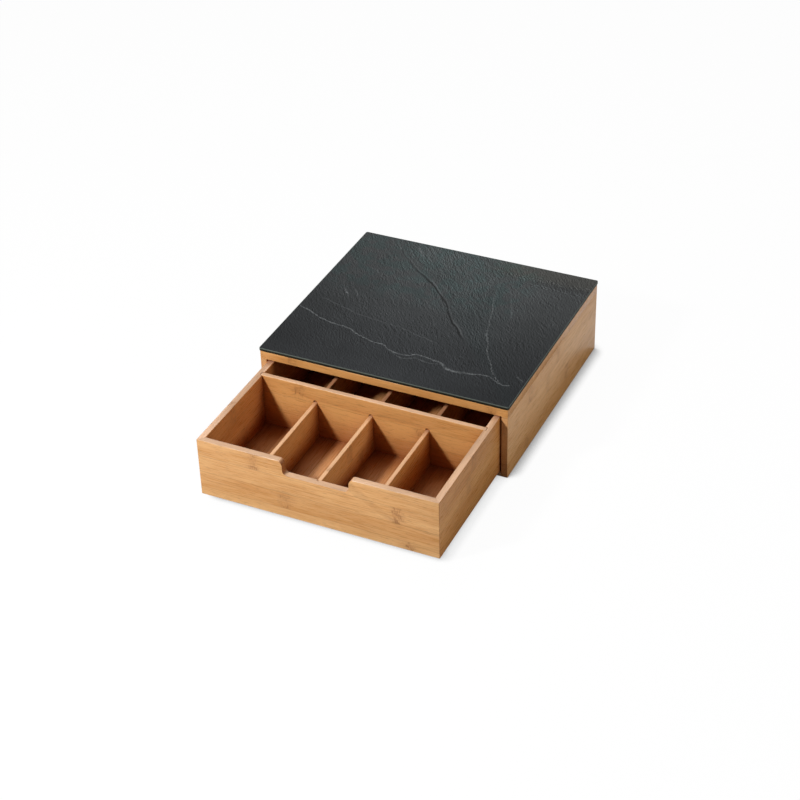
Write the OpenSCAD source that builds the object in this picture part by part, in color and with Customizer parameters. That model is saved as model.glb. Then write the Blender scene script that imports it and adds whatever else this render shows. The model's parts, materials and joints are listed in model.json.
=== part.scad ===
// Tea bag box: a low bamboo case with a glass top and one drawer that pulls
// straight out. The drawer is a mitred tray, split by a cross divider and six
// small dividers into two rows of four compartments.
//
// Millimetres. +Z is up, the drawer opens towards -Y, and the origin is the
// middle of the case's underside. Nearly every outside size follows from the
// compartments, the board thicknesses and the running gaps.

/* [Compartments] */
// Clear width of one compartment, a wrapped tea bag plus finger room
cell_w = 65; // [56:0.5:80]
// Clear length of one compartment, front to back
cell_l = 130.5; // [90:0.5:160]
// How far the drawer stands pulled out of the case
pulled_out = 167; // [0:1:225]

/* [Case boards] */
// Thickness of the case's two sides
side_t = 8; // [7:0.5:12]
// Thickness of the top board that overlaps the sides
top_t = 10.5; // [8:0.5:16]
// Thickness of the board that the drawer slides on
bottom_t = 6.5; // [5:0.5:10]
// Thickness of the thin back panel
back_t = 4; // [3:0.5:6]

/* [Drawer boards] */
// Height of the drawer's four walls
drawer_h = 75; // [60:1:110]
// Thickness of the drawer's four walls
drawer_t = 8; // [7:0.5:12]
// Thickness of the drawer's own bottom panel
tray_t = 4; // [3:0.5:6]
// Height of that panel above the walls' lower edge
tray_rise = 4; // [3:0.5:8]
// Thickness of the divider that runs across the drawer
cross_t = 6; // [5:0.5:10]
// Thickness of the six small dividers
divider_t = 5; // [4:0.5:8]
// How far the small dividers stop below the drawer's rim
divider_drop = 20; // [8:1:30]

/* [Finger notch] */
// Clear width of the notch in the drawer front
notch_w = 80; // [50:1:110]
// Depth of the notch below the rim
notch_depth = 18; // [15:0.5:26]
// Radius of the notch's rounded shoulders
shoulder_r = 7; // [3:0.5:8]
// Radius of the notch's lower corners
notch_r = 6; // [2:0.5:7]

/* [Glass top] */
// Thickness of the glass plate
glass_t = 4; // [3:0.5:8]
// How far the glass stands past the case on each edge
glass_over = 0.75; // [0:0.25:3]
// Radius of the glass plate's corners
glass_r = 2; // [1:0.5:12]
// Width of the ground edge round the glass
glass_arris = 0.5; // [0.3:0.1:1]
// Diameter of each adhesive pad under the glass
pad_d = 24; // [12:1:40]
// Thickness of each adhesive pad
pad_t = 0.5; // [0.3:0.1:1.5]
// Distance of the pads from the glass plate's edges
pad_inset = 34; // [24:1:60]

/* [Joinery] */
// Depth of the housings in the drawer's front and back
housing = 2; // [1:0.25:3]
// Depth of the housings in each face of the cross divider
cross_housing = 1.5; // [0.75:0.25:2]
// Depth of the grooves and housings in the drawer's walls
tray_groove = 3; // [2:0.25:4]
// Play that shows at each end of the cross divider
cross_play = 0.5; // [0.2:0.1:1]
// Thickness of the hidden tongues that join the case
tongue_t = 3; // [2:0.25:4]
// Length of those tongues
tongue_l = 4; // [2:0.25:5]
// How far the tongues stop short of the case's front
tongue_stop = 14; // [8:1:30]
// Width of the rebates that the back panel stands in
back_rebate = 4; // [3:0.5:5]
// Slack of a tongue or panel in its groove
fit = 0.1; // [0.05:0.05:0.3]
// Radius of the sanded edges
ease = 1; // [0.4:0.1:1.4]

/* [Running gaps] */
// Gap between the drawer and each side of the case
side_gap = 1.5; // [0.5:0.1:3]
// Gap under the drawer
slide_gap = 0.3; // [0.3:0.1:1]
// Gap over the drawer
head_gap = 1.2; // [0.5:0.1:4]
// Gap behind the drawer when it is shut
back_gap = 1; // [0.5:0.1:4]

/* [Hidden] */
$fn = 64;

// Compartments in one row
cells = 4;
// How far cutters and joined shapes run past the faces that they meet
past = 1;
// Which edges of a board are sanded round, counted from its low corner
ALL = [1, 1, 1, 1];
NONE = [0, 0, 0, 0];

// Drawer
pitch = cell_w + divider_t;
drawer_in = cells * pitch - divider_t;
drawer_w = drawer_in + 2 * drawer_t;
drawer_l = 2 * cell_l + cross_t + 2 * drawer_t;
tray_top = tray_rise + tray_t;
divider_top = drawer_h - divider_drop;
cross_y = drawer_t + cell_l;
rear_y = cross_y + cross_t;

// Case
opening_w = drawer_w + 2 * side_gap;
opening_h = slide_gap + drawer_h + head_gap;
case_w = opening_w + 2 * side_t;
case_d = drawer_l + back_gap + back_t;
side_h = bottom_t + opening_h;
case_h = side_h + top_t;
front_y = -case_d / 2;
back_y = case_d / 2 - back_t;
side_tongue = case_d - back_t - tongue_stop - past;
back_w = opening_w + 2 * back_rebate;

// Where the drawer stands: its lower front edge
drawer_y = front_y - pulled_out;
drawer_z = bottom_t + slide_gap;

bamboo = [0.82, 0.62, 0.40];
bamboo_dark = [0.72, 0.50, 0.29];
slate = [0.19, 0.20, 0.22];
clear_pad = [0.85, 0.86, 0.84];

// What sanding takes off a corner that lies at the origin
module corner_waste(r) {
    difference() {
        translate([-past, -past])
            square(r + past);
        translate([r, r])
            circle(r);
    }
}

// A rectangle with chosen corners rounded by r, counted anticlockwise
module soft_rect(w, h, corners, r) {
    difference() {
        square([w, h]);
        for (i = [0:3])
            if (corners[i])
                translate([i == 1 || i == 2 ? w : 0, i > 1 ? h : 0])
                    rotate(90 * i)
                        corner_waste(r);
    }
}

// A board from its low corner, with the edges that run along each axis sanded
module board(size, along_x, along_y, along_z, r = ease) {
    intersection() {
        rotate([90, 0, 90])
            linear_extrude(size.x)
                soft_rect(size.y, size.z, along_x, r);
        translate([0, size.y, 0])
            rotate([90, 0, 0])
                linear_extrude(size.y)
                    soft_rect(size.x, size.z, along_y, r);
        linear_extrude(size.z)
            soft_rect(size.x, size.y, along_z, r);
    }
}

// A routed housing that stops in a round end: w wide, cut deep into +Y
module stopped_housing(w, top, deep) {
    rotate([90, 0, 0])
        translate([0, 0, -deep])
            linear_extrude(deep + past) {
                translate([-w / 2, 0])
                    square([w, top]);
                translate([0, top])
                    circle(d = w);
            }
}

// One side of the case, standing at x = 0 with its inner face at x = side_t
module case_side() {
    difference() {
        union() {
            board([side_t, case_d, side_h], [1, 0, 0, 0], [1, 0, 0, 0], [1, 1, 0, 1]);
            translate([(side_t - tongue_t) / 2, tongue_stop, side_h - past])
                cube([tongue_t, side_tongue, tongue_l + past]);
        }
        // groove for the bottom board's tongue
        translate([side_t - tongue_l - fit, tongue_stop - fit, (bottom_t - tongue_t) / 2 - fit])
            cube([tongue_l + fit + past, case_d, tongue_t + 2 * fit]);
        // rebate for the back panel
        translate([side_t - back_rebate, case_d - back_t, -past])
            cube([back_rebate + past, back_t + past, side_h + 2 * past]);
    }
}

module case_left_side() {
    color(bamboo)
        translate([-case_w / 2, front_y, 0])
            case_side();
}

module case_right_side() {
    color(bamboo)
        mirror([1, 0, 0])
            translate([-case_w / 2, front_y, 0])
                case_side();
}

// The top board lies over the sides, with stopped grooves for their tongues
module case_top() {
    color(bamboo)
        difference() {
            translate([-case_w / 2, front_y, side_h])
                board([case_w, case_d, top_t], [0, 0, 1, 1], [0, 0, 1, 1], ALL);
            for (s = [-1, 1])
                translate([
                    s * (case_w - side_t) / 2 - tongue_t / 2 - fit,
                    front_y + tongue_stop - fit,
                    side_h - past
                ])
                    cube([tongue_t + 2 * fit, side_tongue + 2 * fit, tongue_l + fit + past]);
            // the edge over the drawer is sanded between the sides only
            translate([-opening_w / 2, front_y, side_h])
                rotate([90, 0, 90])
                    linear_extrude(opening_w)
                        corner_waste(ease);
            // rebate for the back panel
            translate([-back_w / 2 - fit, back_y - fit, side_h - past])
                cube([back_w + 2 * fit, back_t + fit + past, back_rebate + past]);
        }
}

// The bottom board lies between the sides and carries the drawer
module case_bottom() {
    color(bamboo_dark)
        translate([0, front_y, 0]) {
            translate([-opening_w / 2, 0, 0])
                board([opening_w, case_d - back_t, bottom_t], [1, 0, 0, 1], NONE, NONE);
            translate([-opening_w / 2 - tongue_l, tongue_stop, (bottom_t - tongue_t) / 2])
                cube([opening_w + 2 * tongue_l, case_d - back_t - tongue_stop, tongue_t]);
        }
}

// The back panel stands in rebates round the case's rear edge
module case_back() {
    color(bamboo_dark)
        translate([-back_w / 2 + fit, back_y, 0])
            cube([back_w - 2 * fit, back_t, side_h + back_rebate - fit]);
}

// Section across the glass plate, w wide, with its ground edges
module ground_plate(w) {
    a = glass_arris;
    polygon([
        [a, 0], [w - a, 0], [w, a], [w, glass_t - a],
        [w - a, glass_t], [a, glass_t], [0, glass_t - a], [0, a]
    ]);
}

module glass_top() {
    w = case_w + 2 * glass_over;
    d = case_d + 2 * glass_over;
    color(slate)
        translate([-w / 2, front_y - glass_over, case_h + pad_t])
            intersection() {
                linear_extrude(glass_t)
                    soft_rect(w, d, ALL, glass_r);
                translate([0, d, 0])
                    rotate([90, 0, 0])
                        linear_extrude(d)
                            ground_plate(w);
                rotate([90, 0, 90])
                    linear_extrude(w)
                        ground_plate(d);
            }
}

// Clear adhesive pads that hold the glass just off the top board
module glass_pads() {
    color(clear_pad)
        for (sx = [-1, 1], sy = [-1, 1])
            translate([sx * (case_w / 2 - pad_inset), sy * (case_d / 2 - pad_inset), case_h])
                cylinder(d = pad_d, h = pad_t);
}

// The drawer's plan: everything in it is placed from its lower front corner
module in_drawer() {
    translate([-drawer_w / 2, drawer_y, drawer_z])
        children();
}

// Outline of a wall seen from above, mitred at both ends
module mitred(length) {
    intersection() {
        children();
        translate([0, 0, -past])
            linear_extrude(drawer_h + 2 * past)
                polygon([[0, 0], [length, 0], [length - drawer_t, drawer_t], [drawer_t, drawer_t]]);
    }
}

// A front or back wall lying along X, its outer face at y = 0, with the groove
// for the bottom panel and a stopped housing for each small divider
module end_wall() {
    difference() {
        mitred(drawer_w)
            board([drawer_w, drawer_t, drawer_h], ALL, NONE, [1, 1, 0, 0]);
        translate([drawer_t - tray_groove, drawer_t - tray_groove, tray_rise - fit])
            cube([drawer_in + 2 * tray_groove, tray_groove + past, tray_t + 2 * fit]);
        for (i = [-1:1])
            translate([drawer_w / 2 + i * pitch, drawer_t, tray_rise])
                mirror([0, 1, 0])
                    stopped_housing(divider_t + 2 * fit, divider_top - tray_rise, housing);
    }
}

// A side wall lying along X, its outer face at y = 0, front end at x = 0, with
// the bottom panel's groove and the housing that the cross divider drops into
module side_wall() {
    difference() {
        mitred(drawer_l)
            board([drawer_l, drawer_t, drawer_h], ALL, NONE, [1, 1, 0, 0]);
        translate([drawer_t - tray_groove, drawer_t - tray_groove, tray_rise - fit])
            cube([drawer_l - 2 * (drawer_t - tray_groove), tray_groove + past, tray_t + 2 * fit]);
        translate([cross_y - fit, drawer_t - tray_groove, tray_rise])
            cube([cross_t + 2 * fit, tray_groove + past, drawer_h]);
    }
}

// The opening cut down from the rim: round shoulders above, round corners below
module finger_notch() {
    half = notch_w / 2;
    translate([drawer_w / 2, drawer_t + past, drawer_h - notch_depth])
        rotate([90, 0, 0])
            linear_extrude(drawer_t + 2 * past) {
                translate([-half, notch_r])
                    square([notch_w, notch_depth]);
                translate([-half + notch_r, 0])
                    square([notch_w - 2 * notch_r, notch_depth]);
                for (s = [-1, 1])
                    translate([s * (half - notch_r), notch_r])
                        circle(notch_r);
                translate([0, notch_depth - shoulder_r])
                    difference() {
                        translate([-half - shoulder_r, 0])
                            square([notch_w + 2 * shoulder_r, shoulder_r + past]);
                        for (s = [-1, 1])
                            translate([s * (half + shoulder_r), 0])
                                circle(shoulder_r);
                    }
            }
}

module drawer_front() {
    color(bamboo)
        in_drawer()
            difference() {
                end_wall();
                finger_notch();
            }
}

module drawer_back() {
    color(bamboo)
        in_drawer()
            translate([0, drawer_l, 0])
                mirror([0, 1, 0])
                    end_wall();
}

module drawer_right_side() {
    color(bamboo)
        in_drawer()
            translate([drawer_w, 0, 0])
                rotate(90)
                    side_wall();
}

module drawer_left_side() {
    color(bamboo)
        mirror([1, 0, 0])
            in_drawer()
                translate([drawer_w, 0, 0])
                    rotate(90)
                        side_wall();
}

// The bottom panel floats in the grooves of all four walls
module drawer_bottom() {
    edge = drawer_t - tray_groove + 2 * fit;
    color(bamboo_dark)
        in_drawer()
            translate([edge, edge, tray_rise])
                cube([drawer_w - 2 * edge, drawer_l - 2 * edge, tray_t]);
}

// The divider across the drawer, as high as the rim, with three housings in
// each face, back to back
module cross_divider() {
    let_in = tray_groove - cross_play;
    length = drawer_in + 2 * let_in;
    color(bamboo)
        in_drawer()
            translate([drawer_t - let_in, cross_y, tray_top])
                difference() {
                    board([length, cross_t, drawer_h - tray_top], [0, 0, 1, 1], NONE, NONE);
                    for (i = [-1:1], face = [0, 1])
                        translate([length / 2 + i * pitch, face * cross_t, 0])
                            mirror([0, face, 0])
                                stopped_housing(divider_t + 2 * fit, divider_top - tray_top, cross_housing);
                }
}

// A small divider, from y1 to y2 in the drawer, at place -1, 0 or 1
module divider(place, y1, y2) {
    color(bamboo_dark)
        in_drawer()
            translate([drawer_w / 2 + place * pitch - divider_t / 2, y1 + fit, tray_top])
                board([divider_t, y2 - y1 - 2 * fit, divider_top - tray_top], NONE, [0, 0, 1, 1], NONE);
}

module front_divider(place) {
    divider(place, drawer_t - housing, cross_y + cross_housing);
}

module rear_divider(place) {
    divider(place, rear_y - cross_housing, drawer_l - drawer_t + housing);
}

module front_divider_left() front_divider(-1);
module front_divider_centre() front_divider(0);
module front_divider_right() front_divider(1);
module rear_divider_left() rear_divider(-1);
module rear_divider_centre() rear_divider(0);
module rear_divider_right() rear_divider(1);

case_left_side();
case_right_side();
case_top();
case_bottom();
case_back();
glass_top();
glass_pads();
drawer_front();
drawer_back();
drawer_left_side();
drawer_right_side();
drawer_bottom();
cross_divider();
front_divider_left();
front_divider_centre();
front_divider_right();
rear_divider_left();
rear_divider_centre();
rear_divider_right();
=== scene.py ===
# %% [markdown]
# Tea bag box: a low bamboo case with a slate-look glass top and one drawer.
# The packed model already holds every board at its real size, so this lesson is
# about the looks: soft edges on the boards, bamboo that shows its strips and
# knuckles, a slate print with veins, and a plain bright studio.

# %% Load the packed model
import json
import math

import bmesh
import bpy
from mathutils import Matrix, Vector


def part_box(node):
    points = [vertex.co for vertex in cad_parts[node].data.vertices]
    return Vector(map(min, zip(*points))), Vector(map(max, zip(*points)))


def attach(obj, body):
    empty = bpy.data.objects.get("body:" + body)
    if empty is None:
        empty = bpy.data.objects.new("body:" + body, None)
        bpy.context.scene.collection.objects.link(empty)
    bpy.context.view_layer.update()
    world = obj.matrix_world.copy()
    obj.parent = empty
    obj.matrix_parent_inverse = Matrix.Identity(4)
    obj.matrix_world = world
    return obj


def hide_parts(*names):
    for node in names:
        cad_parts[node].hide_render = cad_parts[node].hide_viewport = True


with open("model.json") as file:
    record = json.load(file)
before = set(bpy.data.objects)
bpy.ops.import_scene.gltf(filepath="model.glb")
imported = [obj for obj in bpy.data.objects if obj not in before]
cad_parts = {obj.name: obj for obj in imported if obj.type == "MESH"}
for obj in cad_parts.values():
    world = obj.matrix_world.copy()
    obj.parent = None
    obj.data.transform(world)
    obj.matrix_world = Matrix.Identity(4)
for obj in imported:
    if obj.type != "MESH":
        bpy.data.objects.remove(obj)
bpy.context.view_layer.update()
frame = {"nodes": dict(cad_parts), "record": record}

MM = 0.001

# %% [markdown]
# Camera. The picture was taken from the right of the drawer, looking down on the
# box with a fairly long lens, which keeps the far edges nearly parallel. The
# camera is aimed at a point inside the case and then leans a little.

# %% Set the camera up
EYE = Vector((0.7800, -1.7134, 1.2964))
AIM = Vector((0.0097, -0.1156, 0.0500))
LEAN = math.radians(-1.70)
LENS = 84.65
SENSOR = 36.0

camera_data = bpy.data.cameras.new("camera")
camera_data.lens = LENS
camera_data.sensor_width = SENSOR
camera_data.sensor_fit = "HORIZONTAL"
camera = bpy.data.objects.new("camera", camera_data)
bpy.context.scene.collection.objects.link(camera)
turn = (AIM - EYE).to_track_quat("-Z", "Y").to_matrix().to_4x4()
camera.matrix_world = Matrix.Translation(EYE) @ turn @ Matrix.Rotation(LEAN, 4, "Z")
bpy.context.scene.camera = camera
print("the camera stands", round((AIM - EYE).length, 3), "m away")

# %% [markdown]
# Light. One small round lamp stands at the left in front and well above: it lights
# the fronts and the tops, leaves the right-hand faces in half shade, and throws
# the dividers' shadows on the board behind them. It hangs less than a metre and a
# half away, so the box is a little brighter on its left than on its right. A weaker
# panel at the right lifts the faces that the lamp misses, and a wider one, high
# behind the box, brightens the tops. The rest comes from the pale table, which
# sends light back up, and from a dim even sky.

# %% Hang the lamps
BOX_MIDDLE = Vector((0.0, -0.25, 0.06))
# name: place, shape, size in metres and power in watts
LAMPS = {
    "lamp": ((-0.60, -1.10, 0.98), "DISK", 0.17, 21.5),
    "right panel": ((1.60, 0.0, 0.82), "SQUARE", 0.45, 9.5),
    "rear panel": ((-0.50, 0.50, 1.52), "SQUARE", 0.70, 8.0),
}


def hang_lamp(name, place, shape, size, power):
    """An area lamp that faces the box"""
    data = bpy.data.lights.new(name, "AREA")
    data.shape = shape
    data.size = size
    data.energy = power
    lamp = bpy.data.objects.new(name, data)
    bpy.context.scene.collection.objects.link(lamp)
    lamp.location = place
    lamp.rotation_euler = (BOX_MIDDLE - lamp.location).to_track_quat("-Z", "Y").to_euler()
    print("the", name, "hangs", round((BOX_MIDDLE - lamp.location).length, 2), "m away")


for lamp_name, settings in LAMPS.items():
    hang_lamp(lamp_name, *settings)

# %% [markdown]
# A material is a tree of small nodes. This helper keeps one tree while it grows:
# each method adds a node and hands back its output, so that a recipe reads like
# a sum. A value may be a number or the output of another node.

# %% A helper for material trees
class Recipe:
    def __init__(self, tree):
        self.tree = tree
        tree.nodes.clear()

    def add(self, kind):
        return self.tree.nodes.new("ShaderNode" + kind)

    def feed(self, socket, value):
        if isinstance(value, bpy.types.NodeSocket):
            self.tree.links.new(value, socket)
        else:
            socket.default_value = value

    def math(self, operation, *values):
        node = self.add("Math")
        node.operation = operation
        for socket, value in zip(node.inputs, values):
            self.feed(socket, value)
        return node.outputs["Value"]

    def total(self, *values):
        result = values[0]
        for value in values[1:]:
            result = self.math("ADD", result, value)
        return result

    def times(self, *values):
        result = values[0]
        for value in values[1:]:
            result = self.math("MULTIPLY", result, value)
        return result

    def minus(self, a, b):
        return self.math("SUBTRACT", a, b)

    def step(self, value, start, end, low=0.0, high=1.0):
        """A smooth rise from low to high as the value goes from start to end"""
        node = self.add("MapRange")
        node.interpolation_type = "SMOOTHSTEP"
        names = ("Value", "From Min", "From Max", "To Min", "To Max")
        for name, entry in zip(names, (value, start, end, low, high)):
            self.feed(node.inputs[name], entry)
        return node.outputs["Result"]

    def point(self, x, y, z):
        node = self.add("CombineXYZ")
        for socket, value in zip(node.inputs, (x, y, z)):
            self.feed(socket, value)
        return node.outputs["Vector"]

    def noise(self, place, detail=2.0, roughness=0.5):
        """Cloudy values about 0.5, one cloud to each unit of place"""
        node = self.add("TexNoise")
        self.feed(node.inputs["Vector"], place)
        node.inputs["Scale"].default_value = 1.0
        node.inputs["Detail"].default_value = detail
        node.inputs["Roughness"].default_value = roughness
        return node.outputs["Fac"]

    def swing(self, place, amount):
        """Noise that swings to both sides of nought"""
        return self.times(self.minus(self.noise(place), 0.5), amount)

    def openness(self, reach, samples, normal=None):
        """One where nothing stands within reach, less in a corner"""
        node = self.add("AmbientOcclusion")
        node.inputs["Distance"].default_value = reach
        node.samples = samples
        if normal is not None:
            self.feed(node.inputs["Normal"], normal)
        return node.outputs["AO"]

    def blend(self, factor, a, b, kind="MIX"):
        node = self.add("Mix")
        node.data_type = "RGBA"
        node.blend_type = kind
        for index, value in zip((0, 6, 7), (factor, a, b)):
            self.feed(node.inputs[index], value)
        return node.outputs[2]

    def shade(self, colour, factor):
        """The colour times a number"""
        node = self.add("VectorMath")
        node.operation = "SCALE"
        self.feed(node.inputs[0], colour)
        self.feed(node.inputs["Scale"], factor)
        return node.outputs["Vector"]

    def place(self, shift=(0.0, 0.0, 0.0), scale=(1.0, 1.0, 1.0)):
        """Object coordinates in millimetres, as three outputs"""
        source = self.add("TexCoord")
        mapping = self.add("Mapping")
        self.feed(mapping.inputs["Vector"], source.outputs["Object"])
        mapping.inputs["Location"].default_value = shift
        mapping.inputs["Scale"].default_value = [s / MM for s in scale]
        parts = self.add("SeparateXYZ")
        self.feed(parts.inputs["Vector"], mapping.outputs["Vector"])
        return parts.outputs

    def bump(self, height):
        """Height in millimetres to a normal"""
        node = self.add("Bump")
        node.inputs["Strength"].default_value = 1.0
        node.inputs["Distance"].default_value = MM
        self.feed(node.inputs["Height"], height)
        return node.outputs["Normal"]

    def surface(self, colour, roughness, normal, **fixed):
        """The finished surface; values that are the same all over are set directly"""
        shader = self.add("BsdfPrincipled")
        output = self.add("OutputMaterial")
        self.feed(output.inputs["Surface"], shader.outputs["BSDF"])
        self.feed(shader.inputs["Base Color"], colour)
        self.feed(shader.inputs["Roughness"], roughness)
        self.feed(shader.inputs["Normal"], normal)
        for name, value in fixed.items():
            shader.inputs[name.replace("_", " ")].default_value = value


def start_material(name):
    material = bpy.data.materials.new(name)
    material.use_nodes = True
    return material, Recipe(material.node_tree)


print("a recipe can", ", ".join(name for name in vars(Recipe) if not name.startswith("_")))

# %% [markdown]
# Studio. The background of the picture is plain white and the box throws only a narrow soft shadow on
# it. A table that is simply lit would come out grey, so where the camera or a shiny surface looks at it,
# most of its brightness is its own and a small part is lit for real. Ambient occlusion paints a shadow
# into that own light close to the box, and leans towards the lamp, so that the painted shadow lies at
# the right of the box and hardly in front of it. The shine on the boards reads a second, wider occlusion
# instead: the foot of a board mirrors the table where that painted shade keeps it dark, and its upper
# part mirrors the white beyond, which is why the right-hand boards look paler towards their far upper
# corners. Every other ray sees a pale matt table, which sends light back up.

# %% Mix the table's finish
TABLE_PALE = (0.60, 0.60, 0.60, 1.0)
WHITE = (1.0, 1.0, 1.0, 1.0)
CONTACT_REACH = 0.022
CONTACT_DARK = 0.10
CONTACT_LEAN = (-0.7, -0.6, 0.7)
WIDE_REACH = 0.20
MIRRORED_WHITE = 0.9
OWN_LIGHT = 0.97


def seen_directly(recipe):
    """One for camera, glossy and transmission rays, nought for the others"""
    path = recipe.add("LightPath")
    seen = recipe.math("MAXIMUM", path.outputs["Is Camera Ray"], path.outputs["Is Glossy Ray"])
    return recipe.math("MAXIMUM", seen, path.outputs["Is Transmission Ray"])


def mix_shaders(recipe, factor, a, b):
    node = recipe.add("MixShader")
    for socket, value in zip(node.inputs, (factor, a, b)):
        recipe.feed(socket, value)
    return node.outputs["Shader"]


def matt(recipe, colour):
    node = recipe.add("BsdfDiffuse")
    node.inputs["Color"].default_value = colour
    return node.outputs["BSDF"]


def own_light(recipe):
    """The table's own brightness with its painted shadow, as the camera and as a shiny board see it"""
    contact = recipe.openness(CONTACT_REACH, 16, recipe.point(*CONTACT_LEAN))
    painted_contact_shadow = recipe.step(contact, 0.15, 0.8, CONTACT_DARK, 1.0)
    wide = recipe.openness(WIDE_REACH, 8)
    painted_reflection_shade = recipe.step(wide, 0.62, 0.86, 0.0, MIRRORED_WHITE)
    mix = recipe.add("Mix")
    path = recipe.add("LightPath")
    for index, value in zip((0, 2, 3), (path.outputs["Is Glossy Ray"], painted_contact_shadow, painted_reflection_shade)):
        recipe.feed(mix.inputs[index], value)
    glow = recipe.add("Emission")
    recipe.feed(glow.inputs["Strength"], mix.outputs[0])
    return glow.outputs["Emission"]


table_finish, recipe = start_material("pale table")
shown = mix_shaders(recipe, OWN_LIGHT, matt(recipe, WHITE), own_light(recipe))
table_shader = mix_shaders(recipe, seen_directly(recipe), matt(recipe, TABLE_PALE), shown)
output = recipe.add("OutputMaterial")
recipe.feed(output.inputs["Surface"], table_shader)
print("the table's finish has", len(recipe.tree.nodes), "nodes")

# %% Lay the table
TABLE_SIZE = 12.0

mesh = bpy.data.meshes.new("table")
table_bm = bmesh.new()
bmesh.ops.create_grid(table_bm, x_segments=1, y_segments=1, size=TABLE_SIZE / 2)
table_bm.to_mesh(mesh)
table_bm.free()
table = bpy.data.objects.new("table", mesh)
bpy.context.scene.collection.objects.link(table)
mesh.materials.append(table_finish)
print("the table is", TABLE_SIZE, "m wide")

# %% [markdown]
# Sky. Beyond the table's edge the camera, shiny surfaces and clear ones see plain
# white, like the paper behind the box. For all other rays the sky is dim, so it
# softens the shadows a little and leaves the lighting to the lamps.

# %% Light the sky
SKY_LEVEL = 0.05

sky = bpy.data.worlds.new("sky")
sky.use_nodes = True
bpy.context.scene.world = sky
recipe = Recipe(sky.node_tree)
background = recipe.add("Background")
background.inputs["Color"].default_value = WHITE
level = recipe.step(seen_directly(recipe), 0.0, 1.0, SKY_LEVEL, 1.0)
recipe.feed(background.inputs["Strength"], level)
output = recipe.add("OutputWorld")
recipe.feed(output.inputs["Surface"], background.outputs["Background"])
bpy.context.scene.view_settings.view_transform = "Standard"
print("the sky lights the box at", SKY_LEVEL)

# %% [markdown]
# Bamboo. A bamboo board is glued up from flat strips about 20 mm wide. Each strip
# has its own tone, fine straight fibres, and one brown knuckle where the cane had
# a joint. The recipe works in millimetres along the grain, across the strips and
# through the board, so the same recipe dresses every board once it knows which
# way that board lies. A flat picture of bamboo could be laid on each board instead,
# but its strips wouldn't run through the thickness, as the rims show they do.

# %% Divide a board into strips
STRIP_W = 21.2
FIRST_GLUE_LINE = 39.3
AXES = {"X": 0, "Y": 1, "Z": 2}


class Board:
    """Where a place lies on its board, in millimetres, and which strip it is in"""

    def __init__(self, recipe, grain, stack, first, seed):
        place = recipe.place()
        self.recipe = recipe
        self.seed = seed
        self.first = first
        self.grain_axis = AXES[grain]
        self.stack_axis = AXES[stack]
        self.along = place[self.grain_axis]
        self.across = place[self.stack_axis]
        self.through = place[3 - self.grain_axis - self.stack_axis]
        self.strip = recipe.math("FLOOR", recipe.times(recipe.minus(self.across, first), 1.0 / STRIP_W))
        # fibres wander a little, and every strip reads the noise somewhere else
        wander = recipe.swing(recipe.point(recipe.times(self.along, 0.012), self.strip, seed), 3.0)
        self.side = recipe.total(self.across, wander)
        self.start = recipe.total(self.along, recipe.times(self.strip, 173.0))


print("a strip is", STRIP_W, "mm wide")

# %% [markdown]
# Fibres. Every mark that runs with the grain is the same noise, drawn out in one
# direction. Long and wide it makes the slow drift of tone in a strip, long and
# narrow it makes streaks, threads and hairs, and short it makes flecks. Each
# strip starts at a place of its own in the noise, so the fibres stop at the
# glue lines.

# %% Draw the fibres
# kind: length and width in millimetres, the noise's detail, and a number that keeps kinds apart
FIBRES = {
    "streaks": (48.0, 2.0, 3.0, 0.0),
    "threads": (20.0, 0.9, 2.0, 11.0),
    "drift": (90.0, 13.0, 1.0, 23.0),
    "hairs": (60.0, 1.1, 1.0, 31.0),
    "flecks": (9.0, 0.8, 1.0, 37.0),
    "clumps": (7.0, 6.0, 1.0, 45.0),
    "crumbs": (0.9, 5.0, 2.0, 51.0),
}


def fibres(board, kind):
    """Noise drawn out along the grain"""
    length, width, detail, salt = FIBRES[kind]
    recipe = board.recipe
    spot = recipe.point(
        recipe.times(board.start, 1.0 / length),
        recipe.total(recipe.times(board.side, 1.0 / width), board.seed + salt),
        recipe.times(board.through, 1.0 / width),
    )
    return recipe.noise(spot, detail, 0.55)


def glue_line(board, drift):
    """One on the thin dark line between two strips, which comes and goes along its length"""
    recipe = board.recipe
    into_strip = recipe.math("PINGPONG", recipe.minus(board.across, board.first), STRIP_W / 2)
    return recipe.times(recipe.step(into_strip, 0.55, 0.15), recipe.step(drift, 0.35, 0.6, 0.3, 1.0))


print(len(FIBRES), "kinds of fibre marks:", ", ".join(FIBRES))

# %% [markdown]
# Knuckles. Where the cane had a joint, a strip shows a faint brown patch with a few
# strokes across it, and the fibres near it are darker. Where the picture shows a
# knuckle, a mark says in which strip it is, where, and how strong. On the other
# boards chance puts one in each stretch of every strip.

# %% Place the knuckles
KNUCKLE_SPACING = 260.0
USUAL_POWER = 0.7
FAR = 99.0
# part: how far from the middle it begins, where it is full, in millimetres, and its strength
KNUCKLE_PARTS = {"patch": (11.0, 1.0, 0.36), "strokes": (7.5, 3.0, 0.70), "smear": (22.0, 4.0, 0.35)}


def chance_of(recipe, value):
    """A number from 0 to 1 that belongs to a whole number by chance"""
    node = recipe.add("TexWhiteNoise")
    node.noise_dimensions = "1D"
    recipe.feed(node.inputs["W"], value)
    return node.outputs["Value"]


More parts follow.
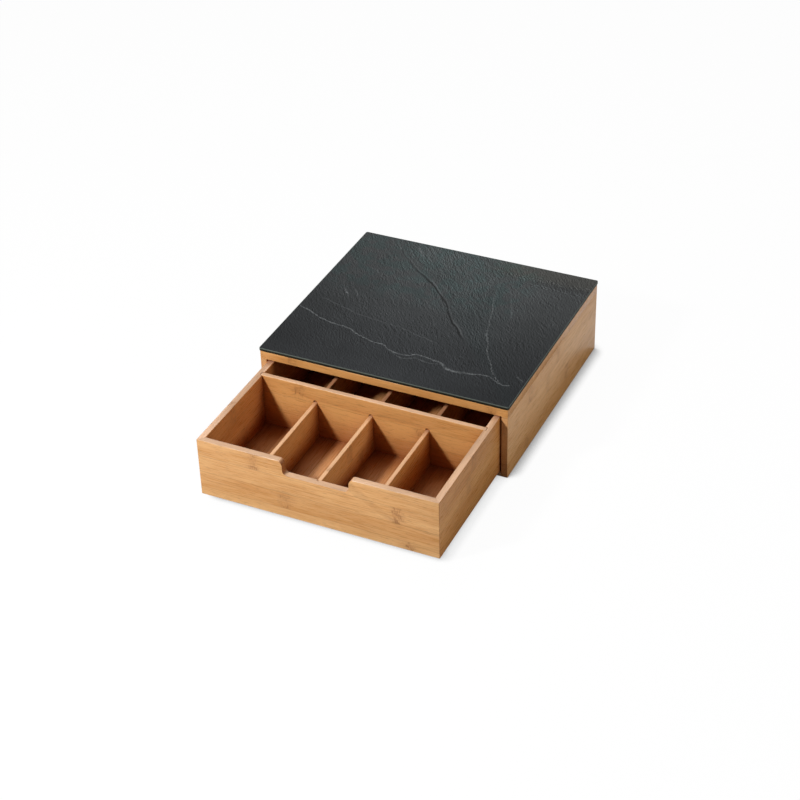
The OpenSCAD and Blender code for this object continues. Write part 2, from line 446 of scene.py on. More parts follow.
def from_knuckle(board, marks):
    """How far a place lies from its strip's knuckle, and how strong that knuckle is"""
    recipe, strip = board.recipe, board.strip
    near = recipe.point(recipe.times(board.along, 0.3), recipe.times(board.across, 0.3), board.seed)
    along = recipe.total(board.along, recipe.swing(near, 10.0))
    if marks is None:
        chance = chance_of(recipe, recipe.total(strip, board.seed + 0.5))
        shifted = recipe.total(along, recipe.times(chance, KNUCKLE_SPACING))
        return recipe.math("PINGPONG", shifted, KNUCKLE_SPACING / 2), USUAL_POWER
    away, power = FAR, 0.0
    for number, spot, strength in marks:
        other_strip = recipe.minus(1.0, recipe.math("COMPARE", strip, float(number), 0.5))
        apart = recipe.math("ABSOLUTE", recipe.minus(along, spot))
        here = recipe.total(apart, recipe.times(other_strip, FAR))
        nearer = recipe.math("LESS_THAN", here, 30.0)
        power = recipe.math("MAXIMUM", power, recipe.times(nearer, strength))
        away = recipe.math("MINIMUM", away, here)
    return away, power


def knuckles(board, streaks, marks):
    """How brown the knuckles make a place"""
    recipe = board.recipe
    away, power = from_knuckle(board, marks)
    clumps = recipe.step(fibres(board, "clumps"), 0.35, 0.65, 0.25, 1.0)
    crumbs = recipe.step(fibres(board, "crumbs"), 0.48, 0.60)
    shapes = {
        "patch": [clumps],
        "strokes": [crumbs, clumps],
        "smear": [recipe.step(streaks, 0.50, 0.66)],
    }
    parts = []
    for kind, (begin, full, strength) in KNUCKLE_PARTS.items():
        parts.append(recipe.times(recipe.step(away, begin, full), *shapes[kind], power, strength))
    return recipe.math("MINIMUM", recipe.total(*parts), 0.9)


print("a knuckle has a", ", a ".join(KNUCKLE_PARTS))

# %% [markdown]
# Colour of a strip. All the fibre marks add up to one lightness, which chooses a colour between a deep
# and a pale bamboo. A tint then goes over a whole board. The inside of the drawer and the top board's
# edge are painted yellower and deeper than the front: painted shade that stands in for light that has
# bounced from bamboo to bamboo and taken on its colour. The floor's tint is partly the panel's own
# deeper tone and partly that painted shade.

# %% Colour the strips
PALE = (0.740, 0.430, 0.190, 1.0)
DEEP = (0.540, 0.250, 0.078, 1.0)
PANEL_TINT = (0.62, 0.50, 0.50, 1.0)
# the floor's tint is partly the panel's own tone and partly painted shade; the next two tints are
# painted shade of bounced light
FLOOR_TONE_AND_SHADE = (0.76, 0.66, 0.64, 1.0)
BOUNCE_SHADE_TINT = (0.93, 0.82, 0.64, 1.0)
LEFT_SHADE_TINT = (0.92, 0.70, 0.50, 1.0)
MIDDLE_TONE = 0.52
STRIP_CONTRAST = 0.40
FIBRE_CONTRAST = {"streaks": 0.80, "threads": 1.00, "drift": 0.90}


def strip_colour(board, marks, tone, tint):
    """Pale and deep strips, with the fibre marks in them"""
    recipe = board.recipe
    strip_tone = recipe.minus(chance_of(recipe, recipe.total(board.strip, board.seed)), 0.5)
    lightness = recipe.total(
        MIDDLE_TONE + tone,
        recipe.times(strip_tone, STRIP_CONTRAST),
        *[recipe.times(recipe.minus(marks[kind], 0.5), share) for kind, share in FIBRE_CONTRAST.items()],
    )
    colour = recipe.blend(lightness, DEEP, PALE)
    if tint:
        colour = recipe.blend(1.0, colour, tint, "MULTIPLY")
    return colour


print("bamboo runs from", DEEP[:3], "to", PALE[:3])

# %% [markdown]
# Rims and cut ends. On a board's rim the narrow side of a strip shows, which is paler and greyer than
# its face; part of that paleness is a painted sheen, the shine the tops catch. Where the grain ends, the
# open fibres soak up the oil and turn dark; on the drawer front the end tint is laid on in full, which
# also paints in the shade on the finger notch's cut ends. The surface's normal tells the three apart: it
# points across the strips on a rim, and along the grain on a cut end. At the bottom of the finger notch
# the rim is painted a little darker: painted shade.

# %% Colour the rims and the cut ends
# the rims' own paler colour together with a painted sheen
RIM_PALE_AND_SHEEN = (0.740, 0.460, 0.285)
# end-grain darkening, which on the drawer front also paints shade on the notch's cut ends
END_TINT_AND_SHADE = (0.50, 0.34, 0.27, 1.0)
# painted shade on the rim at the bottom of the finger notch
NOTCH_SHADE_LEVEL = 0.78
NOTCH_SHADE_FADE = 10.0


def rims_and_ends(board, colour, streaks, rim_pale_and_sheen, end_dark_and_shade, shaded_notch_from):
    """The colour where a board's rim or its cut end shows, the strip's own elsewhere"""
    recipe = board.recipe
    source = recipe.add("TexCoord")
    facing = recipe.add("SeparateXYZ")
    recipe.feed(facing.inputs["Vector"], source.outputs["Normal"])

    def faces(axis, start, full):
        return recipe.step(recipe.math("ABSOLUTE", facing.outputs[axis]), start, full)

    # the rim's paler colour, partly its own and partly a painted sheen
    rim_and_sheen_colour = recipe.shade(RIM_PALE_AND_SHEEN, recipe.step(streaks, 0.2, 0.8, 0.94, 1.04))
    # painted shade: the rim below this height, at the bottom of the finger notch, is made darker
    if shaded_notch_from:
        notch_shade_mask = recipe.step(board.across, shaded_notch_from, shaded_notch_from + NOTCH_SHADE_FADE, NOTCH_SHADE_LEVEL, 1.0)
        rim_and_sheen_colour = recipe.shade(rim_and_sheen_colour, notch_shade_mask)
    on_rim = recipe.times(faces(board.stack_axis, 0.6, 0.95), rim_pale_and_sheen)
    colour = recipe.blend(on_rim, colour, rim_and_sheen_colour)
    # end-grain darkening; at full strength on the drawer front it also paints the shade on the notch's
    # cut ends
    on_end = recipe.times(faces(board.grain_axis, 0.35, 0.8), end_dark_and_shade)
    return recipe.blend(on_end, colour, END_TINT_AND_SHADE, "MULTIPLY")


print("a pale rim has the colour", RIM_PALE_AND_SHEEN)

# %% [markdown]
# The whole bamboo. Knuckles, glue lines, flecks and hairs go over the strips. In the drawer's inner
# corners the wood is painted redder and darker: painted shade for the light that has bounced from board
# to board there. Ambient occlusion finds those corners, and a tint paints that shade in. The boards have
# a thin oil finish: a weak shine, a little rougher in the threads.

# %% Mix the bamboo
KNUCKLE = (0.330, 0.140, 0.050, 1.0)
# the colour and the reach of the painted corner shade
CORNER_SHADE_TINT = (0.52, 0.34, 0.30, 1.0)
CORNER_REACH = 0.045
OILED = 0.30
OIL_SHINE = 0.24


def bamboo(
    name,
    grain,
    stack,
    first=FIRST_GLUE_LINE,
    seed=0.0,
    marks=None,
    tone=0.0,
    tint=None,
    rim_pale_and_sheen=0.85,
    end_dark_and_shade=0.3,
    deep=0.0,
    shaded_notch_from=None,
):
    """Bamboo with its grain along one axis and its strips side by side along another"""
    material, recipe = start_material(name)
    board = Board(recipe, grain, stack, first, seed)
    lines = {kind: fibres(board, kind) for kind in FIBRE_CONTRAST}
    hairs = recipe.step(fibres(board, "hairs"), 0.58, 0.72)
    flecks = recipe.step(fibres(board, "flecks"), 0.60, 0.72)
    glue = glue_line(board, lines["drift"])
    brown = knuckles(board, lines["streaks"], marks)

    colour = strip_colour(board, lines, tone, tint)
    colour = rims_and_ends(board, colour, lines["streaks"], rim_pale_and_sheen, end_dark_and_shade, shaded_notch_from)
    colour = recipe.blend(brown, colour, KNUCKLE)
    for dark_mark, strength in ((glue, 0.24), (flecks, 0.22), (hairs, 0.14)):
        colour = recipe.shade(colour, recipe.minus(1.0, recipe.times(dark_mark, strength)))
    # painted shade: deep sets how strongly the corners that ambient occlusion finds are tinted redder
    # and darker
    if deep:
        corner_shade_mask = recipe.times(recipe.step(recipe.openness(CORNER_REACH, 8), 0.85, 0.25), deep)
        colour = recipe.blend(corner_shade_mask, colour, CORNER_SHADE_TINT, "MULTIPLY")

    uneven = recipe.times(recipe.minus(lines["threads"], 0.5), 0.25)
    roughness = recipe.total(OILED, uneven, recipe.times(brown, 0.15))
    height = recipe.total(
        recipe.times(lines["threads"], 0.05),
        recipe.times(flecks, -0.03),
        recipe.times(glue, -0.03),
        recipe.times(brown, 0.03),
    )
    recipe.surface(colour, roughness, recipe.bump(height), Specular_IOR_Level=OIL_SHINE)
    return material


print("a corner deeper than", round(CORNER_REACH / MM), "mm turns the bamboo darker")

# %% [markdown]
# Which way each board lies. The drawer's walls and the case's sides have their
# grain lengthways and their strips one above the other. The knuckles of the front,
# the top board, the cross divider and the right-hand sides are placed where they
# show in the picture: (strip, millimetres along the grain, strength). The rest
# fall by chance. The top board is covered by the glass, all but its edges.

# %% Choose the grain of every board
UPRIGHT_X = {"grain": "X", "stack": "Z"}
UPRIGHT_Y = {"grain": "Y", "stack": "Z"}
# the dividers' tint and deep corners are painted shade
SMALL_DIVIDER = dict(UPRIGHT_Y, tint=BOUNCE_SHADE_TINT, rim_pale_and_sheen=0.6, deep=0.8)
GRAIN = {
    "case_left_side": dict(UPRIGHT_Y, first=18.5, seed=3.0),
    "case_right_side": dict(
        UPRIGHT_Y,
        first=18.5,
        seed=5.0,
        marks=[(0, 42.0, 0.8), (-1, -86.0, 0.7), (2, -76.0, 0.8), (2, 12.0, 0.6), (1, -20.0, 0.5)],
    ),
    "case_top": dict(
        grain="X",
        stack="Y",
        first=-123.5,
        seed=8.0,
        tone=0.1,
        tint=BOUNCE_SHADE_TINT,
        rim_pale_and_sheen=0.0,
        end_dark_and_shade=0.1,
        marks=[(-1, -113.0, 0.8), (-1, 134.0, 0.9)],
    ),
    "case_bottom": dict(grain="X", stack="Y", seed=13.0, tint=PANEL_TINT, rim_pale_and_sheen=0.4),
    "case_back": dict(UPRIGHT_X, seed=17.0, tint=PANEL_TINT),
    "drawer_front": dict(
        UPRIGHT_X,
        seed=21.0,
        # full end tint: end-grain darkening plus painted shade on the notch's cut ends
        end_dark_and_shade=1.0,
        # painted shade on the rim below this height
        shaded_notch_from=66.0,
        marks=[(1, -75.5, 0.8), (0, 96.5, 1.3), (-1, -39.5, 0.9), (-2, 110.5, 1.2)],
    ),
    "drawer_back": dict(UPRIGHT_X, seed=27.0, tint=BOUNCE_SHADE_TINT, deep=1.0),
    "drawer_left_side": dict(UPRIGHT_Y, seed=31.0, tint=LEFT_SHADE_TINT, deep=1.0),
    "drawer_right_side": dict(
        UPRIGHT_Y,
        seed=37.0,
        tone=-0.15,
        tint=BOUNCE_SHADE_TINT,
        deep=0.8,
        marks=[(1, -218.0, 0.8), (0, -233.0, 0.7), (-1, -120.0, 0.6)],
    ),
    "drawer_bottom": dict(grain="Y", stack="X", seed=41.0, tint=FLOOR_TONE_AND_SHADE, deep=1.0),
    "cross_divider": dict(
        UPRIGHT_X,
        seed=43.0,
        tone=0.42,
        tint=BOUNCE_SHADE_TINT,
        deep=1.0,
        marks=[(1, -90.5, 0.9), (0, 60.0, 0.6), (-1, 10.0, 0.7)],
    ),
    "front_divider_left": dict(SMALL_DIVIDER, seed=47.0),
    "front_divider_centre": dict(SMALL_DIVIDER, seed=53.0, tone=0.3),
    "front_divider_right": dict(SMALL_DIVIDER, seed=59.0, tone=-0.15),
    "rear_divider_left": dict(SMALL_DIVIDER, seed=61.0),
    "rear_divider_centre": dict(SMALL_DIVIDER, seed=67.0),
    "rear_divider_right": dict(SMALL_DIVIDER, seed=71.0),
}
print(len(GRAIN), "boards of bamboo")

# %% [markdown]
# Soft edges. The boards come from the packed model with their rims already
# rounded, but their other edges are razor sharp, and a razor edge never catches
# the light. Each board is copied, its loose triangles are merged into clean
# faces, and every edge that is still sharp gets a tiny bevel, as one pass of
# fine sandpaper would give it.

# %% Dress a board as a new object
SMOOTH_BELOW = math.radians(25.0)

bodies = frame["record"]["behaviour"]["bodies"]


def body_of(node):
    return next(name for name, nodes in bodies.items() if node in nodes)


def finish_piece(name, bm, node, material):
    """Write the bmesh into a new object that stands for the node"""
    mesh = bpy.data.meshes.new(name)
    bm.to_mesh(mesh)
    bm.free()
    mesh.shade_smooth()
    mesh.set_sharp_from_angle(angle=SMOOTH_BELOW)
    mesh.materials.append(material)
    piece = bpy.data.objects.new(name, mesh)
    bpy.context.scene.collection.objects.link(piece)
    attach(piece, body_of(node))
    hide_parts(node)


print("the bodies are", ", ".join(bodies))

# %% Sand the boards
SANDING = 0.25 * MM
SHARP = math.radians(35.0)
FLAT = math.radians(0.6)
WELD = 0.002 * MM


def clean_copy(node):
    """A bmesh of a packed board, merged, with its flat faces whole again"""
    bm = bmesh.new()
    bm.from_mesh(frame["nodes"][node].data)
    bmesh.ops.remove_doubles(bm, verts=bm.verts, dist=WELD)
    bmesh.ops.dissolve_limit(bm, angle_limit=FLAT, verts=bm.verts, edges=bm.edges)
    return bm


def sanded_board(node):
    bm = clean_copy(node)
    sharp = [e for e in bm.edges if len(e.link_faces) == 2 and e.calc_face_angle() > SHARP]
    bmesh.ops.bevel(
        bm,
        geom=sharp,
        offset=SANDING,
        offset_type="OFFSET",
        affect="EDGES",
        segments=2,
        profile=0.5,
        material=-1,
        clamp_overlap=True,
    )
    open_edges = sum(1 for e in bm.edges if len(e.link_faces) != 2)
    print(node, len(sharp), "sharp edges sanded,", len(bm.faces), "faces,", open_edges, "open edges")
    material = bamboo("bamboo " + node.replace("_", " "), **GRAIN[node])
    finish_piece("sanded_" + node, bm, node, material)


for board_name in GRAIN:
    sanded_board(board_name)

# %% [markdown]
# Slate. The plate is glass with a slate picture fired on to it, dark and nearly
# matt. The picture has three things in it: a fine grain that slants across the
# plate, a few pale veins, and one dark crease where the stone split. Everything
# on it is placed in millimetres from the plate's back left corner, so the plate
# is measured first.

# %% Measure the plate
plate_low, plate_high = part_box("glass_top")
PLATE_W = (plate_high.x - plate_low.x) / MM
PLATE_D = (plate_high.y - plate_low.y) / MM
PLATE_T = (plate_high.z - plate_low.z) / MM
print("the plate measures", round(PLATE_W, 1), "by", round(PLATE_D, 1), "by", round(PLATE_T, 1), "mm")

# %% [markdown]
# Veins. A vein is a curve. It could be a thin strip of mesh laid on the plate, but
# it is only printed there, so it belongs to the colour. Here each one is a
# handful of points, in millimetres to the right and to the front.

# %% Trace the veins
LONG_VEIN = [
    (0, 188), (16, 194), (40, 205), (56, 209), (76, 211), (92, 219), (116, 227), (131, 228),
    (143, 236), (164, 238), (176, 232), (190, 234), (207, 238), (220, 246), (240, 246), (265, 241),
    (289, 251), (300, 247),
]
LOWER_STRAND = [(143, 236), (160, 245), (176, 240), (192, 242), (208, 240)]
FAINT_VEIN = [(19, 163), (47, 171), (78, 180), (104, 184), (134, 188), (156, 194), (188, 202)]
CREASE = [
    (48, 14), (60, 24), (76, 42), (98, 62), (112, 72), (130, 85), (148, 104), (165, 123), (176, 142),
    (196, 165), (214, 186),
]
SCRATCHES = [
    [(30, 127), (38, 138), (48, 150)],
    [(47, 131), (52, 137), (58, 144)],
    [(297, 230), (309, 238)],
    [(49, 9), (55, 19), (62, 28)],
    [(75, 7), (84, 19), (97, 33)],
]
# The two steep ones have the mm to the front first
STEEP_VEIN = [
    (34, 206), (66, 206), (84, 210), (104, 216), (122, 222), (146, 228), (158, 231), (185, 243),
    (200, 249), (220, 262), (236, 272), (252, 288),
]
SHORT_VEIN = [(74, 227), (92, 235), (103, 240), (122, 246)]
print("the crease runs", CREASE[-1][0] - CREASE[0][0], "mm to the right")

# %% [markdown]
# A Float Curve node holds such a curve: it turns the distance along the vein into
# where the vein is, and whatever lies close to that is painted pale. One side of
# the curve can also be told from the other, which bounds the rough stone.

# %% Find the way along a curve
END_FADE = 8.0


def curve_value(recipe, value, points):
    """The curve through the points, read at a place along it"""
    first, last = points[0][0], points[-1][0]
    node = recipe.add("FloatCurve")
    curve = node.mapping.curves[0]
    places = [((a - first) / (last - first), b / PLATE_W) for a, b in points]
    curve.points[0].location = places[0]
    curve.points[-1].location = places[-1]
    for spot in places[1:-1]:
        curve.points.new(*spot)
    node.mapping.update()
    recipe.feed(node.inputs["Value"], recipe.times(recipe.minus(value, first), 1.0 / (last - first)))
    return recipe.times(node.outputs["Value"], PLATE_W)


def beside(recipe, run, reach, points):
    """How far a place lies to the far side of the curve, in millimetres"""
    lean = math.atan2(points[-1][1] - points[0][1], points[-1][0] - points[0][0])
    return recipe.times(recipe.minus(reach, curve_value(recipe, run, points)), math.cos(lean))


def within(recipe, run, points, fade=END_FADE):
    """One along the curve, nought past its ends"""
    first, last = points[0][0], points[-1][0]
    begun = recipe.step(run, first - fade / 4, first + fade)
    return recipe.times(begun, recipe.step(run, last + fade / 4, last - fade))


def thin_line(recipe, run, reach, points, width):
    """One on the curve, nought beyond its width"""
    away = recipe.math("ABSOLUTE", beside(recipe, run, reach, points))
    return recipe.times(recipe.step(away, width, recipe.times(width, 0.25)), within(recipe, run, points))


print("a vein fades in and out over", END_FADE, "mm")

# %% [markdown]
# Noise for the stone. Some of its marks are as long as they are wide, like clouds
# and flakes. Others are drawn out along the slate's grain, which runs across the
# plate at a slant.

# %% Noise for the stone
GRAIN_SLANT = math.radians(60.0)
RIPPLE_SLANT = math.radians(50.0)


def even(recipe, u, v, size, salt=0.0, detail=2.0):
    """Clouds as long as they are wide"""
    spot = recipe.point(recipe.times(u, 1.0 / size), recipe.times(v, 1.0 / size), salt)
    return recipe.noise(spot, detail, 0.55)


def slanted(recipe, u, v, length, width, salt, slant):
    """Noise drawn out along the slate's slanting grain"""
    along = recipe.total(recipe.times(u, math.cos(slant)), recipe.times(v, math.sin(slant)))
    across = recipe.minus(recipe.times(v, math.cos(slant)), recipe.times(u, math.sin(slant)))
    spot = recipe.point(recipe.times(along, 1.0 / length), recipe.times(across, 1.0 / width), salt)
    return recipe.noise(spot, 2.0, 0.6)


def band(recipe, value, middle, reach):
    """One in the middle of a band, nought beyond its reach"""
    return recipe.step(recipe.math("ABSOLUTE", recipe.minus(value, middle)), reach, reach * 0.3)


print("the grain slants by", round(math.degrees(GRAIN_SLANT)), "degrees")

# %% [markdown]
# Natural stone has no smooth line in it. So each place on the plate is known three
# times over: as it is, bent by slow clouds for the relief, and made ragged by
# small clouds too for the veins. The crease gets a wobble of its own. A line that
# is drawn on bent places wanders.

# %% Bend the places on the plate
class Slate:
    """A place on the plate: u to the right, v to the front, up from its underside, in millimetres"""

    def __init__(self, recipe):
        shift = (-plate_low.x / MM, plate_high.y / MM, -plate_low.z / MM)
        self.recipe = recipe
        self.u, self.v, self.up = recipe.place(shift, (1.0, -1.0, 1.0))
        self.bent_u = self.wobbled(self.u, 3.0, 13.0, 5.0)
        self.bent_v = self.wobbled(self.v, 43.0, 13.0, 5.0)
        self.ragged_u = self.wobbled(self.bent_u, 5.0, 2.6, 4.5)
        self.ragged_v = self.wobbled(self.bent_v, 45.0, 2.6, 4.5)
        crease_u = self.wobbled(self.bent_u, 7.0, 3.0, 1.8)
        crease_v = self.wobbled(self.bent_v, 47.0, 3.0, 1.8)
        self.before_crease = beside(recipe, crease_u, crease_v, CREASE)

    def clouds(self, size, salt, detail=2.0):
        return even(self.recipe, self.u, self.v, size, salt, detail)

    def wobbled(self, value, salt, size, amount):
        """A place pushed to and fro by clouds of one size"""
        push = self.recipe.minus(self.clouds(size, salt), 0.5)
        return self.recipe.total(value, self.recipe.times(push, amount))


print("the plate is drawn in mm, its middle at", round(PLATE_W / 2, 1), round(PLATE_D / 2, 1))

# %% [markdown]
# Rough and calm stone. Behind the crease and to the left of the steep vein the
# stone is rough, two ledges stick out near the rear right corner, and it flakes a
# little everywhere. Towards the front it is calm.

# %% Find where the stone is rough
def rough_places(slate):
    """How rough the stone is here, and how much of it is rough zone, ledge and flakes"""
    recipe = slate.recipe
    left_of_vein = beside(recipe, slate.ragged_v, slate.ragged_u, STEEP_VEIN)
    zone = recipe.times(
        recipe.step(slate.before_crease, 4.0, -14.0), recipe.step(left_of_vein, 30.0, -20.0)
    )
    ledge = recipe.total(
        recipe.times(band(recipe, slate.ragged_v, 27.0, 6.0), recipe.step(slate.u, 190.0, 212.0)),
        recipe.times(band(recipe, slate.ragged_v, 41.0, 5.0), recipe.step(slate.u, 228.0, 245.0), 0.8),
    )
    flakes = recipe.step(slate.clouds(20.0, 9.0), 0.36, 0.62, 0.35, 1.0)
    calm_front = recipe.step(slate.v, 275.0, 225.0, 0.35, 1.0)
    roughest = recipe.math("MAXIMUM", recipe.math("MAXIMUM", zone, ledge), recipe.times(flakes, 0.8))
    return recipe.times(roughest, calm_front), zone, ledge, flakes


print("the steep vein bounds the rough stone between", STEEP_VEIN[0][0], "and", STEEP_VEIN[-1][0], "mm")

# %% [markdown]
# Relief. The stone's relief was printed too, light on one flank and dark on the
# other, and a bump alone would hardly show on so dark a plate. So the recipe
# reads the same height twice, a little apart, and paints the difference. The
# height is made of short strokes and longer ripples, with knobs on the ledges.

# %% Raise the stone
EMBOSS_SHIFT = (0.9, -0.7)
# mark: length and width in millimetres, a number that keeps the marks apart, and the slant
STROKES = (4.5, 1.3, 0.0, GRAIN_SLANT)
RIPPLES = (15.0, 3.4, 7.0, RIPPLE_SLANT)
KNOB_SIZE = 3.0


def stone_height(slate, rough, ledge, flakes, shift=(0.0, 0.0)):
    """The stone's height, read a little to one side"""
    recipe = slate.recipe
    u = recipe.total(slate.bent_u, shift[0])
    v = recipe.total(slate.bent_v, shift[1])
    knobs = even(recipe, u, v, KNOB_SIZE, 19.0)
    return recipe.total(
        recipe.times(slanted(recipe, u, v, *STROKES), recipe.total(rough, 0.45), 0.8),
        recipe.times(slanted(recipe, u, v, *RIPPLES), recipe.total(rough, 0.10), 0.8),
        recipe.times(knobs, recipe.total(recipe.times(ledge, 2.3), recipe.times(flakes, 0.5))),
    )


print("strokes are", STROKES[0], "mm long, ripples", RIPPLES[0], "mm")

# %% [markdown]
# Crease and veins. The crease is a narrow dark cleft, darkest in its right half,
# with a pale lip along its rear side. The veins are thin and broken: a cloud wipes
# parts of them out, and the long one frays into a wider smear near its right end.

# %% Draw the crease and the veins
CREASE_FADE = 12.0
LIP_SIDE = 2.4
SCRATCH_W = 1.25


def crease_and_lip(slate):
    recipe = slate.recipe
    present = within(recipe, slate.ragged_u, CREASE, CREASE_FADE)
    darkest = recipe.step(slate.ragged_u, 80.0, 130.0, 0.45, 1.0)
    cleft = recipe.step(recipe.math("ABSOLUTE", slate.before_crease), 1.9, 0.5)
    edge = recipe.math("ABSOLUTE", recipe.total(slate.before_crease, LIP_SIDE))
    chips = recipe.total(
        0.4, band(recipe, slate.bent_u, 137.0, 18.0), recipe.step(slate.bent_u, 180.0, 194.0)
    )
    lip = recipe.times(recipe.step(edge, 1.9, 0.3), present, chips)
    return recipe.times(cleft, present, darkest), lip


def draw_veins(slate):
    recipe, u, v = slate.recipe, slate.ragged_u, slate.ragged_v
    frayed = recipe.times(recipe.step(u, 192.0, 212.0), recipe.step(u, 262.0, 240.0))
    fading_back = recipe.step(slate.v, 60.0, 100.0, 0.25, 0.75)
    veins = recipe.total(
        thin_line(recipe, u, v, LONG_VEIN, recipe.total(1.15, recipe.times(frayed, 1.6))),
        recipe.times(thin_line(recipe, u, v, LOWER_STRAND, 1.2), 0.4),
        recipe.times(thin_line(recipe, v, u, STEEP_VEIN, 1.1), fading_back),
        recipe.times(thin_line(recipe, v, u, SHORT_VEIN, 1.1), 0.5),
        recipe.times(thin_line(recipe, u, v, FAINT_VEIN, 1.2), 0.30),
        *[thin_line(recipe, u, v, points, SCRATCH_W) for points in SCRATCHES],
    )
    return recipe.times(veins, recipe.step(slate.clouds(4.0, 21.0, 3.0), 0.36, 0.60, 0.20, 1.0))


print("the plate has", len(SCRATCHES), "scratches beside its veins")

# %% [markdown]
# Colour of the stone. It is palest at the back and in the middle, and darker to the front and at both
# sides; the pale back is partly the stone's own tone and partly a painted sheen. The rough zone and some
# patches are greenish, the rear right corner is warmer. The emboss goes over all that.

# %% Colour the stone
STONE_FRONT = (0.0190, 0.0205, 0.0220, 1.0)
# the rear colour holds a painted sheen as well as the stone's tone
STONE_REAR_AND_SHEEN = (0.0565, 0.0610, 0.0620, 1.0)
GREEN_TINT = (0.84, 1.05, 1.03, 1.0)
WARM_TINT = (1.10, 1.02, 0.92, 1.0)
EMBOSS = 3.4
LEDGE_SHADE = 0.28
DARKEST = 0.2


def stone_colour(slate, zone, slope):
    recipe, u, v = slate.recipe, slate.u, slate.v
    # from the dark front to the pale back: partly the stone's tone, partly painted sheen
    colour = recipe.blend(recipe.step(v, 270.0, -20.0), STONE_FRONT, STONE_REAR_AND_SHEEN)
    green_patches = recipe.times(
        recipe.step(slate.clouds(17.0, 61.0), 0.42, 0.58),
        recipe.step(v, 150.0, 100.0),
        recipe.step(u, 262.0, 225.0),
    )
    green = recipe.math("MAXIMUM", recipe.times(zone, 0.35), green_patches)
    colour = recipe.blend(green, colour, GREEN_TINT, "MULTIPLY")
    warm = recipe.times(recipe.step(v, 40.0, 18.0), recipe.step(u, 165.0, 215.0))
    colour = recipe.blend(warm, colour, WARM_TINT, "MULTIPLY")

    sides = recipe.times(
        recipe.step(u, 140.0, -10.0, 1.0, 0.60), recipe.step(u, 205.0, 311.0, 1.0, 0.80)
    )
    clouds = recipe.step(slate.clouds(38.0, 9.0), 0.2, 0.8, 0.86, 1.14)
    under_ledge = recipe.times(band(recipe, slate.ragged_v, 34.0, 6.0), recipe.step(u, 225.0, 245.0))
    relief = recipe.total(1.0, recipe.times(slope, EMBOSS), recipe.times(under_ledge, -LEDGE_SHADE))
    return recipe.shade(colour, recipe.times(sides, clouds, recipe.math("MAXIMUM", relief, DARKEST)))


print("the stone runs from", STONE_FRONT[:3], "to", STONE_REAR_AND_SHEEN[:3])

# %% [markdown]
# The plate's edge shows the glass itself: a thin pale green line, the glass's green with a painted
# highlight where the ground corner catches the light, and nearly black below it, where the slate
# picture's dark backing shines through.

# %% Paint the plate
VEIN_COLOUR = (0.165, 0.175, 0.178, 1.0)
# the edge's green with a painted highlight
EDGE_GREEN_HIGHLIGHT = (0.095, 0.112, 0.098, 1.0)
EDGE_DARK = (0.016, 0.016, 0.010, 1.0)
GROUND = 0.5
RELIEF_DEPTH = 0.08
CREASE_DEPTH = 0.6
SATIN_SHINE = 0.08


def out_of_plate(recipe, value, size):
    """One on the ground corner and the edge, nought on the plate's face"""
    from_middle = recipe.math("ABSOLUTE", recipe.minus(value, size / 2))
    return recipe.math("GREATER_THAN", from_middle, size / 2 - GROUND)


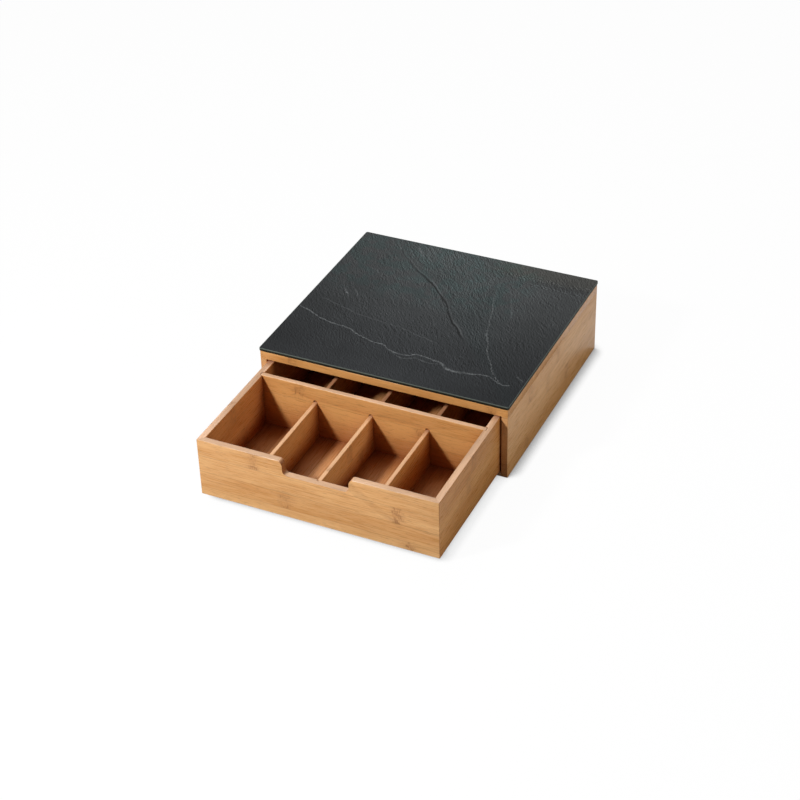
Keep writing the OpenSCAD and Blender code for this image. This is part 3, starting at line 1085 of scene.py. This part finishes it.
def slate_glass():
    material, recipe = start_material("slate look glass")
    slate = Slate(recipe)
    rough, zone, ledge, flakes = rough_places(slate)
    here = stone_height(slate, rough, ledge, flakes)
    slope = recipe.minus(here, stone_height(slate, rough, ledge, flakes, EMBOSS_SHIFT))
    crease, lip = crease_and_lip(slate)

    colour = stone_colour(slate, zone, slope)
    colour = recipe.shade(colour, recipe.minus(1.0, recipe.times(crease, 0.85)))
    colour = recipe.blend(recipe.times(lip, 0.22), colour, VEIN_COLOUR)
    colour = recipe.blend(recipe.times(draw_veins(slate), 0.72), colour, VEIN_COLOUR)

    # painted highlight: the upper part of the edge is painted pale green
    edge_colour = recipe.blend(recipe.step(slate.up, 2.6, 3.3), EDGE_DARK, EDGE_GREEN_HIGHLIGHT)
    rim_u, rim_v = out_of_plate(recipe, slate.u, PLATE_W), out_of_plate(recipe, slate.v, PLATE_D)
    rim = recipe.math("MAXIMUM", rim_u, rim_v)
    colour = recipe.blend(rim, colour, edge_colour)

    relief = recipe.total(here, recipe.times(crease, -CREASE_DEPTH))
    height = recipe.times(relief, recipe.minus(1.0, rim), RELIEF_DEPTH)
    satin = recipe.step(slate.clouds(6.0, 77.0), 0.2, 0.8, 0.50, 0.58)
    recipe.surface(colour, satin, recipe.bump(height), Specular_IOR_Level=SATIN_SHINE)
    print("the slate's recipe has", len(recipe.tree.nodes), "nodes")
    return material


plate_finish = slate_glass()

# %% [markdown]
# The plate is a flat box with small round corners, whose edges were ground so
# that they don't cut. A cube is stretched to the plate's size. Its four upright
# edges are rounded first, then the rings of edges above and below get their
# narrow ground corner.

# %% Cut the glass plate
CORNER_R = 2.0


def upright(edge):
    a, b = (v.co for v in edge.verts)
    return abs(a.z - b.z) > MM


def round_edges(bm, edges, radius, segments):
    bmesh.ops.bevel(
        bm,
        geom=edges,
        offset=radius * MM,
        affect="EDGES",
        segments=segments,
        profile=0.5,
        material=-1,
    )


bm = bmesh.new()
bmesh.ops.create_cube(bm, size=1.0)
bmesh.ops.scale(bm, vec=plate_high - plate_low, verts=bm.verts)
bmesh.ops.translate(bm, vec=(plate_low + plate_high) / 2, verts=bm.verts)
round_edges(bm, [e for e in bm.edges if upright(e)], CORNER_R, 8)
rings = [e for e in bm.edges if not upright(e) and e.calc_face_angle() > SHARP]
round_edges(bm, rings, GROUND, 2)
print("the plate has", len(bm.faces), "faces")
finish_piece("slate_look_plate", bm, "glass_top", plate_finish)

# %% [markdown]
# Four clear adhesive pads hold the plate just off the top board. They stay as the
# packed model has them and only get their finish: soft clear rubber with a
# slightly uneven skin.

# %% Finish the pads
PAD_COLOUR = (0.80, 0.82, 0.80, 1.0)
PAD_CLOUDY = (0.66, 0.69, 0.66, 1.0)
PAD_CLEAR = 0.6

pad_finish, recipe = start_material("clear rubber")
place = recipe.place()
cloudy = even(recipe, place["X"], place["Y"], 3.0)
pad_colour = recipe.blend(cloudy, PAD_COLOUR, PAD_CLOUDY)
pad_roughness = recipe.step(cloudy, 0.3, 0.7, 0.25, 0.45)
pad_normal = recipe.bump(recipe.times(cloudy, 0.05))
recipe.surface(pad_colour, pad_roughness, pad_normal, Transmission_Weight=PAD_CLEAR)
pads = frame["nodes"]["glass_pads"]
pads.data.materials.clear()
pads.data.materials.append(pad_finish)
print("the pads lift the plate by", round(pads.dimensions.z / MM, 2), "mm")

# %% [markdown]
